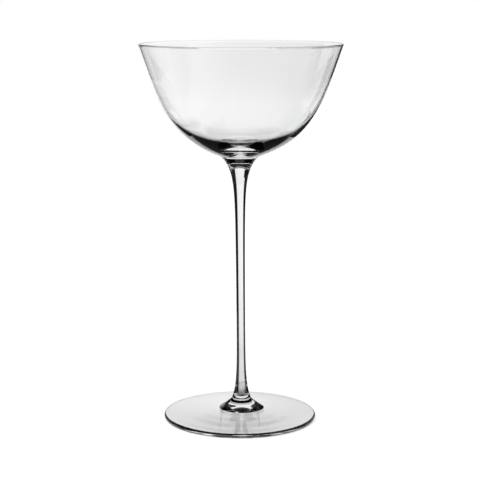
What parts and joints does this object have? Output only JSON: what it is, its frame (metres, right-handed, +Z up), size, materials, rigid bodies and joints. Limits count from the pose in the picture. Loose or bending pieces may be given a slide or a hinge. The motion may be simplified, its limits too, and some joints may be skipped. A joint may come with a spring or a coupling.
{
  "type": "stemmed cocktail glass",
  "caption": "Clear cocktail glass with a wide thin-walled bowl on a tall slender drawn stem and a round foot.",
  "frame": {"origin": "middle of the foot's underside, on the surface that the glass stands on", "axes": "+Z up along the stem, from the foot to the rim; the glass is round about Z, so X and Y are alike"},
  "size_m": [0.0958, 0.0958, 0.18],
  "materials": {
    "clear_glass": "fire-polished clear glass with a faint hand-made waviness"
  },
  "bodies": {
    "root": {"bowl": "clear_glass", "stem": "clear_glass", "foot": "clear_glass"}
  },
  "joints": []
}
